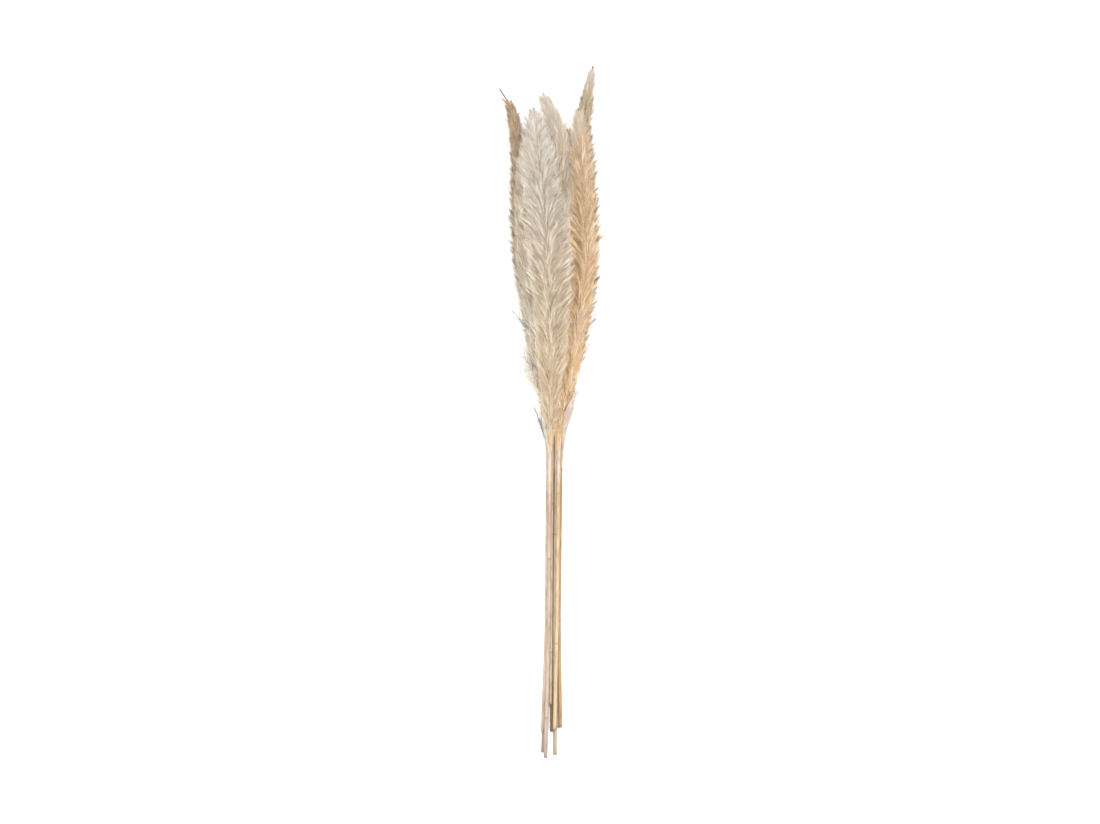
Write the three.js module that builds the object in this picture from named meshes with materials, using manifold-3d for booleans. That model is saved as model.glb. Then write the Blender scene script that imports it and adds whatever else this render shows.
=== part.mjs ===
// A bundle of nine dried pampas grass stalks, lying on a flat surface. Lengths are in millimetres.
// X runs across the bundle, Y from the cut stem ends to the plume tips, and Z up from the surface.

import * as THREE from "three";
import { mergeVertices } from "three/addons/utils/BufferGeometryUtils.js";
import Module from "manifold-3d";

const { clamp, lerp, mapLinear, smoothstep } = THREE.MathUtils;
const wasm = await Module();
wasm.setup();

// Stems: thicker at the cut end than at the plume, with eight flat sides.
const CUT_RADIUS = 2.2;
const TOP_RADIUS = 2.05;
const STEM_SIDES = 8;
const STEM_STEPS = 11;
const JOINT_GAP = 0.3;

// The furthest cut end, where the stems are fanned out.
const FAN_Y = -400;

// Where the stems are packed together, they stand in three rows, as circles in a honeycomb do.
const WAIST = { x: 3.5, y: -216, z: 16, pitch: 4.7 };
const NECK = { x: 5, y: -40, z: 26.5, pitch: 5.1 };
const ROW_RISE = Math.sqrt(3) / 2;
const WAIST_STATION = 1;

// The thickest part of the bundle, and the narrower part below it that follows the same layout.
const BELLY = { x: 5, y: 187, z: 40 };
const LOW = { x: 5.5, y: 72, z: 33, share: 0.64 };

// Plumes: a slim core round the rachis, with a spiral of flame-shaped tufts that grow out of it.
const TIP_RADIUS = 0.9;
const CORE_SHARE = 0.54;
const CORE_SIDES = 7;
const CORE_STEPS = 13;
const CORE_END = 0.955;
const WIDEST_POWER = 1.94;
const FULLNESS_POWER = 0.32;
const SLIM_FROM = 0.52;
const SLIM_TO = 0.86;
const TURN = Math.PI * (3 - Math.sqrt(5));
const TUFT_SPACING = 7;
const SPACING_GIRTH = 18;
const TUFT_LENGTH = 42;
const SHORTEST_SHARE = 0.48;
const GROWN_AT = 0.16;
const TUFT_HALF_WIDTH = 5;
const TUFT_HALF_DEPTH = 1.9;
const SMALLEST_SHARE = 0.3;
const FULL_SIZE_REACH = 17;
const RING_PLACES = [0, 0.62, 1];
const RING_SIZES = [0.6, 2, 0];
const ROOT_SHARE = 0.12;
const ROOT_END = 0.93;
const BOW_POWER = 0.72;
const TIP_STAY = 0.985;

// How much the tufts of a plume differ from each other, each way.
const LENGTH_SPREAD = 0.12;
const REACH_SPREAD = 0.07;
const SWEEP_SPREAD = 0.22;
const ANGLE_SPREAD = 0.15;
const PLACE_SPREAD = 0.3;

// Room kept between neighbours, which differs from tuft to tuft so that no two of them end on
// the same plane, and how far below the surface a tuft would reach before it is pressed flat.
const TUFT_CLEARANCE = 0.4;
const CLEARANCE_SPREAD = 0.6;
const CORE_CLEARANCE = 0.35;
const PRESSED = 2.5;

const STEM_ROUGHNESS = 0.55;
const PLUME_ROUGHNESS = 0.9;

const DRAW_FACTOR = 1664525;
const DRAW_STEP = 1013904223;
const DRAW_RANGE = 2 ** 32;

// Edges shorter than this are drawn together after the pieces of a plume are joined.
const FINEST = 0.01;

// One row for each stalk. "cut" is the Y of its cut end, "fan" its place across at FAN_Y, "slot"
// its column and row where the stems are packed, "belly" its place across the thickest part,
// "base" the Y where the plume starts, "girth" the plume's largest radius, and "slim" the share
// by which its upper part is narrower.
const STALKS = [
  {
    name: "white_front", cut: -400, fan: [-5.2, 10.2], slot: [-1, 1], belly: [-3, 57],
    shoulder: [-14, 295, 60], tip: [-19, 350, 57], base: -36, girth: 25.5, slim: 0,
    plumeColour: "#d9cfbd", stemColour: "#bfae9f",
  },
  {
    name: "peach_right", cut: -367, fan: [4.6, 9.8], slot: [1, 1], belly: [40.5, 46],
    shoulder: [36.5, 300, 50], tip: [32.8, 350, 48], base: -40, girth: 22.5, slim: 0.15,
    plumeColour: "#d3b592", stemColour: "#d2b793",
  },
  {
    name: "cream_middle", cut: -397, fan: [5.8, 4.4], slot: [0.5, 0], belly: [14.5, 38],
    shoulder: [10.5, 310, 45], tip: [-8.5, 368, 50], base: -24, girth: 16.5, slim: 0.05,
    plumeColour: "#cfc3ac", stemColour: "#c5b9a6",
  },
  {
    name: "tan_right", cut: -365, fan: [12.6, 5.2], slot: [1.5, 0], belly: [38.5, 14.5],
    shoulder: [38.5, 325, 24], tip: [49.5, 400, 31], base: -14, girth: 16.5, slim: 0.5,
    plumeColour: "#cdbfaa", stemColour: "#c5a581",
  },
  {
    name: "tan_left", cut: -394, fan: [-8.6, 1.9], slot: [-1, -1], belly: [-31, 14.5],
    shoulder: [-37, 305, 21], tip: [-59, 374, 27], base: -16, girth: 16, slim: 0.42,
    plumeColour: "#beaf96", stemColour: "#b8a08a",
  },
  {
    name: "cream_left", cut: -370, fan: [-9.4, 6.7], slot: [-1.5, 0], belly: [-27, 43],
    shoulder: [-28, 278, 42], tip: [-22, 322, 42], base: -28, girth: 18, slim: 0,
    plumeColour: "#cfc4b0", stemColour: "#cbb193",
  },
  {
    name: "cream_inner", cut: -338, fan: [0.4, 5.4], slot: [-0.5, 0], belly: [-9, 32],
    shoulder: [-10, 268, 34], tip: [-6, 318, 33], base: -20, girth: 14.5, slim: 0.1,
    plumeColour: "#ccc0aa", stemColour: "#d6bd9c",
  },
  {
    name: "sand_left", cut: -370, fan: [2, 0.29], slot: [0, -1], belly: [-10, 11.5],
    shoulder: [-12, 270, 12.5], tip: [-15, 316, 16], base: -12, girth: 15, slim: 0.15,
    plumeColour: "#c9b899", stemColour: "#9c7f62",
  },
  {
    name: "sand_right", cut: -366, fan: [9.4, 0.01], slot: [1, -1], belly: [13.5, 11.5],
    shoulder: [15, 280, 12.5], tip: [20, 328, 17], base: -10, girth: 15, slim: 0.15,
    plumeColour: "#cbb692", stemColour: "#cfae98",
  },
];

// Repeatable draws between -1 and 1: each seed starts a row of whole numbers of its own, where the
// next is DRAW_FACTOR times the last plus DRAW_STEP, less all that is over DRAW_RANGE.
function drawsFrom(seed) {
  let state = seed;
  return () => {
    state = (state * DRAW_FACTOR + DRAW_STEP) % DRAW_RANGE;
    return (state / DRAW_RANGE) * 2 - 1;
  };
}

// The points that a stalk's axis passes, as [x, y, z], from the fanned ends to the tip.
function stationsOf(stalk) {
  const [column, row] = stalk.slot;
  const packed = (place) => [
    place.x + place.pitch * column,
    place.y,
    place.z + place.pitch * ROW_RISE * row,
  ];
  const [bellyX, bellyZ] = stalk.belly;
  const low = [
    LOW.x + LOW.share * (bellyX - BELLY.x),
    LOW.y,
    LOW.z + LOW.share * (bellyZ - BELLY.z),
  ];
  return [
    [stalk.fan[0], FAN_Y, stalk.fan[1]],
    packed(WAIST),
    packed(NECK),
    low,
    [bellyX, BELLY.y, bellyZ],
    stalk.shoulder,
    stalk.tip,
  ];
}

// Slope at each station for one coordinate. The stems run straight from the waist to the neck.
// Elsewhere it is the harmonic mean of the slopes on the two sides, and none where they differ
// in sign, so that the line never swings past a station.
function slopesOf(stations, coordinate) {
  const spans = stations.slice(1).map((next, i) => {
    const from = stations[i];
    return (next[coordinate] - from[coordinate]) / (next[1] - from[1]);
  });
  return stations.map((_, i) => {
    if (i === WAIST_STATION || i === WAIST_STATION + 1) return spans[WAIST_STATION];
    const before = spans[Math.max(i - 1, 0)];
    const after = spans[Math.min(i, spans.length - 1)];
    return before * after > 0 ? (2 * before * after) / (before + after) : 0;
  });
}

for (const stalk of STALKS) {
  stalk.stations = stationsOf(stalk);
  stalk.slopes = { 0: slopesOf(stalk.stations, 0), 2: slopesOf(stalk.stations, 2) };
}

// The axis of a stalk at one Y: a cubic between two stations that keeps the slopes at both.
function axisAt(stalk, y) {
  const { stations, slopes } = stalk;
  let i = 0;
  while (i < stations.length - 2 && y > stations[i + 1][1]) i++;
  const length = stations[i + 1][1] - stations[i][1];
  const t = clamp((y - stations[i][1]) / length, 0, 1);
  const along = (coordinate) =>
    stations[i][coordinate] * (2 * t ** 3 - 3 * t ** 2 + 1) +
    stations[i + 1][coordinate] * (3 * t ** 2 - 2 * t ** 3) +
    slopes[coordinate][i] * length * (t ** 3 - 2 * t ** 2 + t) +
    slopes[coordinate][i + 1] * length * (t ** 3 - t ** 2);
  return new THREE.Vector3(along(0), y, along(2));
}

// How far the tufts reach from the axis at one Y, from the base of the plume to its tip.
function reachAt(stalk, y) {
  const s = (y - stalk.base) / (stalk.tip[1] - stalk.base);
  if (s <= 0 || s >= 1) return 0;
  const swell = Math.sin(Math.PI * s ** WIDEST_POWER) ** FULLNESS_POWER;
  const slim = 1 - stalk.slim * smoothstep(s, SLIM_FROM, SLIM_TO);
  return stalk.girth * swell * slim;
}

// What a stalk needs at least on every side of its axis: its stem, or the start of its core.
function needAt(stalk, y) {
  return y > stalk.tip[1] ? 0 : TOP_RADIUS + CORE_CLEARANCE;
}

// The room of a stalk towards each neighbour that it has at one Y, and towards the surface. Two
// neighbours share the distance between their axes in proportion to their reach there.
function roomsAt(stalk, y) {
  const axis = axisAt(stalk, y);
  const ownReach = Math.max(reachAt(stalk, y), TOP_RADIUS);
  const neighbours = STALKS.filter((other) => other !== stalk && y <= other.tip[1] + JOINT_GAP);
  const below = { towards: new THREE.Vector3(0, 0, -1), room: axis.z + PRESSED };
  const beside = neighbours.map((other) => {
    const towards = axisAt(other, y).sub(axis);
    const distance = towards.length();
    const otherReach = Math.max(reachAt(other, y), TOP_RADIUS);
    const room = clamp(
      (distance * ownReach) / (ownReach + otherReach),
      needAt(stalk, y),
      distance - needAt(other, y),
    );
    return { towards: towards.divideScalar(distance), room };
  });
  return [below, ...beside];
}

// Pulls a point straight towards its stalk's axis until it is clear of every neighbour's room.
function keepInRoom(stalk, point, clearance) {
  const axis = axisAt(stalk, point.y);
  const arm = point.clone().sub(axis);
  let kept = 1;
  for (const { towards, room } of roomsAt(stalk, point.y)) {
    const used = arm.dot(towards);
    const allowed = Math.max(room - clearance, 0);
    if (used > allowed) kept = Math.min(kept, allowed / used);
  }
  return axis.addScaledVector(arm, kept);
}

// Turns a closed geometry into a solid that can be joined and cut.
function solidOf(geometry) {
  geometry.deleteAttribute("normal");
  geometry.deleteAttribute("uv");
  const merged = mergeVertices(geometry);
  return new wasm.Manifold(
    new wasm.Mesh({
      numProp: 3,
      vertProperties: merged.attributes.position.array,
      triVerts: new Uint32Array(merged.index.array),
    }),
  );
}

// Turns a solid back into a geometry.
function geometryOf(solid) {
  const mesh = solid.getMesh();
  const geometry = new THREE.BufferGeometry();
  geometry.setAttribute("position", new THREE.BufferAttribute(mesh.vertProperties, 3));
  geometry.setIndex(new THREE.BufferAttribute(mesh.triVerts, 1));
  geometry.computeVertexNormals();
  return geometry;
}

// Moves every vertex of a geometry to where the function puts it.
function reshape(geometry, placeOf) {
  const position = geometry.attributes.position;
  const point = new THREE.Vector3();
  for (let i = 0; i < position.count; i++) {
    const placed = placeOf(point.fromBufferAttribute(position, i));
    position.setXYZ(i, placed.x, placed.y, placed.z);
  }
  return geometry;
}

// A round bar along a stalk's axis, turned from its radius at even steps in Y.
function barAlong(stalk, fromY, toY, steps, sides, radiusAt) {
  const profile = [new THREE.Vector2(0, fromY)];
  for (let i = 0; i <= steps; i++) {
    const y = lerp(fromY, toY, i / steps);
    profile.push(new THREE.Vector2(radiusAt(y), y));
  }
  profile.push(new THREE.Vector2(0, toY));
  return reshape(new THREE.LatheGeometry(profile, sides), (point) =>
    point.add(axisAt(stalk, point.y).setY(0)),
  );
}

// The bare stem, from its cut end to just below the plume.
function stemOf(stalk) {
  const cutY = stalk.cut;
  const topY = stalk.base - JOINT_GAP;
  const radiusAt = (y) => mapLinear(y, cutY, topY, CUT_RADIUS, TOP_RADIUS);
  return solidOf(barAlong(stalk, cutY, topY, STEM_STEPS, STEM_SIDES, radiusAt));
}

// The dense middle of the plume, which the tufts stand out of. It is no thicker than its room.
function coreOf(stalk) {
  const length = stalk.tip[1] - stalk.base;
  const endY = stalk.base + CORE_END * length;
  const radiusAt = (y) => {
    const rachis = mapLinear(y, stalk.base, endY, TOP_RADIUS, TIP_RADIUS);
    const narrowest = Math.min(...roomsAt(stalk, y).map(({ room }) => room));
    const fullest = Math.min(CORE_SHARE * reachAt(stalk, y), narrowest - CORE_CLEARANCE);
    return Math.max(rachis, fullest);
  };
  return solidOf(barAlong(stalk, stalk.base, endY, CORE_STEPS, CORE_SIDES, radiusAt));
}

// One tuft: a three-sided flame that leaves the axis, bows outwards and turns up along the plume.
// It starts as an upright cone of three rings, with a corner that faces out and two at its sides.
function tuftOf(stalk, rootY, angle, draw) {
  const plumeLength = stalk.tip[1] - stalk.base;
  const grown = Math.min((rootY - stalk.base) / (GROWN_AT * plumeLength), 1);
  const wanted = TUFT_LENGTH * lerp(SHORTEST_SHARE, 1, grown) * (1 + LENGTH_SPREAD * draw());
  const length = Math.min(wanted, (stalk.tip[1] - rootY) * TIP_STAY);
  const reachShare = 1 + REACH_SPREAD * draw();
  const sweep = SWEEP_SPREAD * draw();
  const clearance = TUFT_CLEARANCE + CLEARANCE_SPREAD * Math.abs(draw());
  const midReach = reachAt(stalk, rootY + length / 2);
  const size = lerp(SMALLEST_SHARE, 1, Math.min(midReach / FULL_SIZE_REACH, 1));
  const depth = TUFT_HALF_DEPTH * size;
  const width = TUFT_HALF_WIDTH * size;
  return reshape(new THREE.ConeGeometry(1, 1, 3, 2), (vertex) => {
    const ring = Math.round(vertex.y * 2 + 1);
    const t = RING_PLACES[ring];
    const y = rootY + length * t;
    const turn = angle + sweep * t;
    const out = new THREE.Vector3(Math.cos(turn), 0, Math.sin(turn));
    const side = new THREE.Vector3(out.z, 0, -out.x);
    const bow = lerp(ROOT_SHARE, 1, t ** BOW_POWER);
    const reach = Math.max(reachAt(stalk, y), TOP_RADIUS) * reachShare;
    const centre = axisAt(stalk, y).addScaledVector(out, reach * bow);
    const corner = keepInRoom(stalk, centre, clearance + (t < 1 ? depth : 0));
    corner.addScaledVector(out, vertex.z * RING_SIZES[ring] * depth);
    corner.addScaledVector(side, vertex.x * RING_SIZES[ring] * width);
    return keepInRoom(stalk, corner, clearance);
  });
}

// A plume: its core and its tufts in one solid, cut flat where it is pressed on the surface.
function plumeOf(stalk, seed) {
  const draw = drawsFrom(seed);
  const rooted = ROOT_END * (stalk.tip[1] - stalk.base);
  const spacing = TUFT_SPACING * Math.sqrt(SPACING_GIRTH / stalk.girth);
  const count = Math.round(rooted / spacing);
  const pieces = [coreOf(stalk)];
  for (let i = 0; i < count; i++) {
    const rootY = stalk.base + rooted * ((i + 0.5 + PLACE_SPREAD * draw()) / count);
    pieces.push(solidOf(tuftOf(stalk, rootY, i * TURN + ANGLE_SPREAD * draw(), draw)));
  }
  const whole = wasm.Manifold.union(pieces).trimByPlane([0, 0, 1], 0).simplify(FINEST);
  const [largest] = whole.decompose().sort((a, b) => b.volume() - a.volume());
  return largest;
}

function meshOf(name, solid, colour, roughness) {
  const material = new THREE.MeshStandardMaterial({ color: colour, roughness, metalness: 0 });
  material.flatShading = true;
  const mesh = new THREE.Mesh(geometryOf(solid), material);
  mesh.name = name;
  return mesh;
}

const bundle = new THREE.Group();
STALKS.forEach((stalk, i) => {
  bundle.add(meshOf(`stem_${stalk.name}`, stemOf(stalk), stalk.stemColour, STEM_ROUGHNESS));
  bundle.add(meshOf(`plume_${stalk.name}`, plumeOf(stalk, i + 1), stalk.plumeColour, PLUME_ROUGHNESS));
});

export default bundle;
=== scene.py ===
import math

import bpy
import numpy as np
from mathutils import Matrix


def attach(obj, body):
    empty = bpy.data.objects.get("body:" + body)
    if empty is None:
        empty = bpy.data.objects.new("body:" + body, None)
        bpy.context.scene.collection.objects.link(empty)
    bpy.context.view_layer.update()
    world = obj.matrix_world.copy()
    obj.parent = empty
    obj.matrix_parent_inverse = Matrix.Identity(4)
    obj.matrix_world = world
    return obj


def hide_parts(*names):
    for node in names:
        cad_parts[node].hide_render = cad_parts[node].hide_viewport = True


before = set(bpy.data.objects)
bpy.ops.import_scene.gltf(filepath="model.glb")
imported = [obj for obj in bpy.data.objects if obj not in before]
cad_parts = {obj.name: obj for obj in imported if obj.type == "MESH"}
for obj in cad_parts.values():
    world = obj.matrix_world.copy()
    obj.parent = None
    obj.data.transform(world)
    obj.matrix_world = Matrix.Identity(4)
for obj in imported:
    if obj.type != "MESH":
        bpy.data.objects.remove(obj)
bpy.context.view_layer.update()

# All shapes are worked out in millimetres: X across the bundle, Y from the cut ends to the tips,
# Z up from the surface. They turn into metres when they become a mesh.
MILLIMETRE = 0.001

# Stalks. From their fan they run to the waist and on to the neck, where they stand in rows like
# circles in a honeycomb, a pitch apart. From there the plumes spread until the belly, and at LOW
# each has gone a share of its way out.
CUT_RADIUS = 2.2
TOP_RADIUS = 2.05
TIP_RADIUS = 1
FAN_Y = -400
WAIST = {"x": 3.5, "y": -216, "z": 16, "pitch": 4.7}
NECK = {"x": 5, "y": -40, "z": 26.5, "pitch": 5.1}
ROW_RISE = math.sqrt(3) / 2
WAIST_STATION = 1
LOW = {"x": 5.5, "y": 72, "z": 33, "share": 0.64}
BELLY = {"x": 5, "y": 187, "z": 40}

# A joint of a stem: places round it, and the height, the offset and the half length of its swelling
# and of the groove below it.
JOINT_PLACES = (-4, -3, -2.2, -1.4, -0.7, 0, 0.6, 1.2, 2, 3)
JOINT_FORM = ((0.16, 0, 0.9), (-0.1, -2, 0.8))

# A sheath's foot, and its radius at the low end, past the foot and at the rim. A blade's half
# thickness at its point, what it gains with its half width, and how many places are averaged.
SHEATH_FOOT = 8
SHEATH_RADII = (TOP_RADIUS, 2.35, 2.6)
BLADE_THIN = 0.18
BLADE_THICKER = 0.12
BLADE_AVERAGED = 9

# How far a plume reaches from its line: the powers of its swell, and the shares of its length
# between which a slim plume draws in.
WIDEST_POWER = 1.94
FULLNESS_POWER = 0.32
SLIM_ZONE = (0.52, 0.86)

# Room among the stalks, and the bounds of the hairs.
STEM_ROOM = 0.35  # kept free round every stem
LEAST_ROOM = 0.4  # left for hairs between two stems
OPEN = 1000.0  # where no neighbour is near
LOWEST = 0.15
FURTHEST = 64
HIGHEST = 88.5

# A crease is where a neighbour's room ends within CREASE_SHARE of the plume's reach. Sprays there
# go on to PAST_ROOM beyond it. A neighbour is faced where the cosine to it is over FACING.
CREASE_SHARE = 1.35
PAST_ROOM = 2.5
FACING = 0.35

# Sprays, in a spiral round the stalk. A spread is how much they vary, and a zone is the two shares
# of the plume between which something sets in or ends.
TURN = math.pi * (3 - math.sqrt(5))  # from one spray to the next
TURN_SPREAD = 0.3
CROWDING = 0.2  # of sprays on top and below
PARTING = 0.75  # of those, towards the sides
SWEEP_SPREAD = 0.16
SPRAY_SPACING = 1.25  # from root to root, on a plume with a girth of SPACING_GIRTH
COAT_SPACING = SPRAY_SPACING / 20
SPACING_GIRTH = 18
ROOT_END = 0.93  # the share of the plume with roots on it
SPRAY_LENGTH = 27
LENGTH_SPREAD = (0.72, 1.12)
SHORTEST_SHARE = 0.48  # of their length, at the plume's base
GROWN_AT = 0.16  # where they get their full length
TIP_STAY = 0.985  # of the way to the plume's tip
REACH_AT = 0.75  # where a spray takes the plume's reach
REACH_SHARE = 0.83
REACH_SPREAD = (0.88, 1.04)
STRAY = 0.15  # how much further a few of them reach
STRAY_POWER = 6
TAPER_ZONE = (0.86, 1)
DRAWN_IN_ZONE = (0.2, 0.85)
FILLED_ZONE = (0.7, 0.84)  # where the filling of the creases ends
TONE_SPREAD = 0.06
PATCH_WAVE = 0.03
PATCH_SPREAD = 0.012
SHAG_LEAST = 0.35
SHAG_POWER = 1.7

# The section of a spray, and its size in shares at places along it and past its end.
SPRAY_HALF_WIDTH = 3.6
SPRAY_HALF_DEPTH = 2.4
SPRAY_SIZES = ((0, 0.65, 1.1, 1.7), (0.15, 1, 0.6, 1.3))
FULL_SIZE_REACH = 17  # with a smaller reach a spray is smaller, down to SMALLEST
SMALLEST = 0.4
ROOT_BOW = 0.04

# Hairs on the sprays.
CURL = 1.6  # how far the middle of a hair strays, in one as long as its spray
LEAST_SPAN = 0.1  # the share of its spray that a hair covers at least
BEYOND_ANGLE = math.radians(46)  # the slant of a strand beyond its spray
STRAND_POWER = 0.6  # below 1: strands crowd at the outside
BEYOND_POWER = 1.3  # above 1: few strands go far beyond
BEYOND_SPREAD = (0.7, 1)
LIFT_POWER = 1.5
WIDTH_SPREAD = (0.75, 1.25)
END_WIDTH = 0.4
HAIR_TONE = 0.6  # how much hairs of a strand differ, in strand_tones
FULL_TONE = 0.04  # from this strand_tone on, hairs get the full tone of their spray
ALONG_HAIR = 0.35  # what the place on the hair counts in its tone, against that on the spray
# The edge tone that strands take at the sides of the bundle is painted shade.
SIDE_SHADE_SIDES = (0.35, 0.8)  # how far to the side a spray points where the edge tone sets in
SIDE_SHADE_ZONE = (0.6, 1)  # and where along it

# The kinds of hair on a spray, and its small brown spikelets: how many strands a spray has and how
# many hairs a strand. In mm: their length, how far the strand goes beyond the spray, how far they
# spread at the root and at the end, how much the end is lifted, their half width, and how far they
# may reach into a neighbour's room. "start" is where along the spray they start, "bow" how soon
# they get to its full reach, "sweep" how much they turn with it and "rings" how many rings of
# points they have. "tones" are their places in the map at the spray's root and end, "strand_tone"
# is how much strands differ, and "edge" the chance that a strand goes to "side_shade_tone" at the
# sides.
# That darker tone at the sides of the bundle is painted shade, and on the fringe partly also the
# darker colour of its hairs.
COAT_HAIRS = dict(
    strands=2.8, hairs=1, length=(9, 16), start=(0.1, 0.85), beyond=(0, 1), spread=(0.3, 1.2),
    lift=0.4, width=0.16, into=(-0.5, 12), bow=0.85, sweep=1, rings=1, tones=(0.42, 0.7),
    edge=0.35, side_shade_tone=0.2, strand_tone=0.04,
)
FINE_HAIRS = dict(
    COAT_HAIRS, strands=3.2, hairs=4, length=(10, 18), start=(0.1, 0.8), beyond=(0, 2),
    spread=(0.1, 0.6), width=0.15, tones=(0.42, 0.75), edge=0.4, side_shade_tone=0.19, strand_tone=0.05,
)
BRIGHT_HAIRS = dict(
    strands=0.7, hairs=4, length=(9, 22), start=(0.3, 0.75), beyond=(0, 10), spread=(0.16, 0.1),
    lift=1.6, width=0.16, into=(0, 13), bow=0.3, sweep=1.5, rings=2, tones=(0.85, 1.1),
    edge=0.6, side_shade_tone=0.05, strand_tone=0.05,
)
BRIGHT_ON_COAT = dict(BRIGHT_HAIRS, strands=0.11, hairs=2)
FRINGE_HAIRS = dict(
    strands=2.5, hairs=2, length=(14, 22), start=(0.6, 0.85), beyond=(1, 15), spread=(0.2, 0.5),
    lift=0.6, width=0.3, into=(0, 13), bow=0.85, sweep=1, rings=2, tones=(0.5, 0.6),
    edge=1, side_shade_tone=0.05, strand_tone=0.02,
)
WISPS = dict(
    FRINGE_HAIRS, strands=0.6, hairs=1, length=(16, 26), start=(0.6, 0.8), beyond=(5, 16),
    spread=(0.2, 0.6), lift=0.8, width=0.28, side_shade_tone=0.07, strand_tone=0.03,
)
SPIKELETS = dict(
    strands=1, hairs=2, length=(3, 6), start=(0.2, 0.85), beyond=(0, 0), spread=(0.3, 0.3),
    lift=1.2, width=0.36, into=(0, 13), bow=0.85, sweep=1, rings=1, tones=(0.17, 0.2),
    edge=0, side_shade_tone=0.18, strand_tone=0.02,
)

# How many strands of spikelets a spray has on the upper and on the lower part of a plume, and the
# places along Y between which that changes.
SPIKELET_STRANDS = (0.1, 0.8)
SPIKELETS_UP_TO = (80, 220)

# Down on the stalk inside, and hairs at the neck, on the very tip and on loose branches. Widths and
# tones run from the root to the end.
DOWN = dict(per_spray=6, along=(-0.02, 0.93), out=(0.35, 0.7), widths=(0.3,), tones=(0.3, 0.4))
NECK_HAIRS = dict(count=110, root=(-20, 8), length=(14, 28), out=(0.5, 1), widths=(0.22, 0.2),
                  tones=(0.35, 0.45, 0.7))
CROWN_HAIRS = dict(root=(4, 20), widths=(0.2, 0.15), tones=(0.5, 0.7, 0.12))
BRANCH_HAIRS = dict(start=(0.35, 1), aside=(0.2, 0.75), length=(5, 12), widths=(0.24, 0.17))

# The lines and rooms of the stalks are tabled at these places along Y.
STEP = 0.5
ALONG = np.arange(FAN_Y, 410 + STEP, STEP)

# Each piece has a map of its own. Hairs and tubes keep off its border by this much, and the wall of
# a tube runs in it from CAP_SHARE to WALL_TOP.
OWN_MAP = "OFBake"
HAIR_BORDER = 0.004
TUBE_BORDER = 0.002
CAP_SHARE = 0.06
WALL_TOP = 0.97

# One row for each stalk: the Y of its cut end, its places across as x and z, with its slot in the
# packed rows as column and row, and where its plume starts. "girth" is how far the plume reaches
# at most, "slim" the share that it draws in further up and "taper" the share at its tip.
# "fullness" is its share of a full coat of hairs, "drawn_in" how near the line they lie at its
# base and its tip, "fringe" how thick its fringe is, "crown" the number of hairs on its very tip
# and the radius of their dome, "bare" how much of its tip has no hairs, and "dusk" how much
# painted shade darkens its sprays in the creases. "slots" are the materials of its plume and of its
# stem. What a row doesn't give is as in USUAL.
USUAL = dict(slim=0, fullness=0.9, drawn_in=(1, 1), fringe=1, crown=(40, 5), bare=0, crease_shade=0)
STALKS = [
    dict(USUAL, name="white_front", cut=-400, fan=(-5.2, 10.2), slot=(-1, 1), belly=(-3, 57),
         shoulder=(-14, 295, 60), tip=(-19, 350, 57), base=-36, girth=25.5, taper=0.6,
         slots=("plume_white", "stem_grey"), fullness=1, crown=(130, 6.5)),
    dict(USUAL, name="peach_right", cut=-367, fan=(4.6, 9.8), slot=(1, 1), belly=(40.5, 46),
         shoulder=(36.5, 300, 50), tip=(32.8, 350, 48), base=-40, girth=22.5, slim=0.15, taper=0.5,
         slots=("plume_peach", "stem_straw"), fullness=1, drawn_in=(0.83, 0.79),
         fringe=1.5, crown=(90, 6.5), crease_shade=0.16),
    dict(USUAL, name="cream_middle", cut=-397, fan=(5.8, 4.4), slot=(0.5, 0), belly=(14.5, 38),
         shoulder=(10.5, 310, 45), tip=(-8.5, 368, 50), base=-24, girth=16.5, slim=0.05,
         taper=0.05, slots=("plume_cream", "stem_grey"), drawn_in=(1.1, 0.92),
         fringe=0.7, crown=(240, 7.5), crease_shade=0.05),
    dict(USUAL, name="tan_right", cut=-365, fan=(12.6, 5.2), slot=(1.5, 0), belly=(38.5, 14.5),
         shoulder=(38.5, 325, 24), tip=(49.5, 400, 31), base=-14, girth=16.5, slim=0.5, taper=0.45,
         slots=("plume_tan", "stem_orange"), drawn_in=(0.85, 1.2), fringe=1.7,
         crown=(60, 3.2)),
    dict(USUAL, name="tan_left", cut=-394, fan=(-8.6, 1.9), slot=(-1, -1), belly=(-31, 14.5),
         shoulder=(-37, 305, 21), bend=(-45, 350, 25), tip=(-59, 374, 27), base=-16, girth=16,
         slim=0.42, taper=0.5, slots=("plume_tan", "stem_grey"),
         drawn_in=(0.78, 0.95), fringe=1.6, crown=(0, 1), bare=12),
    dict(USUAL, name="cream_left", cut=-370, fan=(-9.4, 6.7), slot=(-1.5, 0), belly=(-27, 43),
         shoulder=(-28, 278, 42), tip=(-22, 322, 42), base=-28, girth=18, taper=0.4,
         slots=("plume_cream", "stem_straw"), drawn_in=(0.86, 0.82)),
    dict(USUAL, name="cream_inner", cut=-338, fan=(0.4, 5.4), slot=(-0.5, 0), belly=(-9, 32),
         shoulder=(-10, 268, 34), tip=(-6, 318, 33), base=-20, girth=14.5, slim=0.1, taper=0.3,
         slots=("plume_cream", "stem_straw"), fullness=0.5, drawn_in=(1.1, 1)),
    dict(USUAL, name="sand_left", cut=-370, fan=(2, 0.29), slot=(0, -1), belly=(-10, 11.5),
         shoulder=(-12, 270, 12.5), tip=(-15, 316, 16), base=-12, girth=15, slim=0.15, taper=0.3,
         slots=("plume_sand", "stem_brown"), fullness=0.65),
    dict(USUAL, name="sand_right", cut=-366, fan=(9.4, 0.01), slot=(1, -1), belly=(13.5, 11.5),
         shoulder=(15, 280, 12.5), tip=(20, 328, 17), base=-10, girth=15, slim=0.15, taper=0.3,
         slots=("plume_sand", "stem_straw"), fullness=0.65),
]

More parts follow.
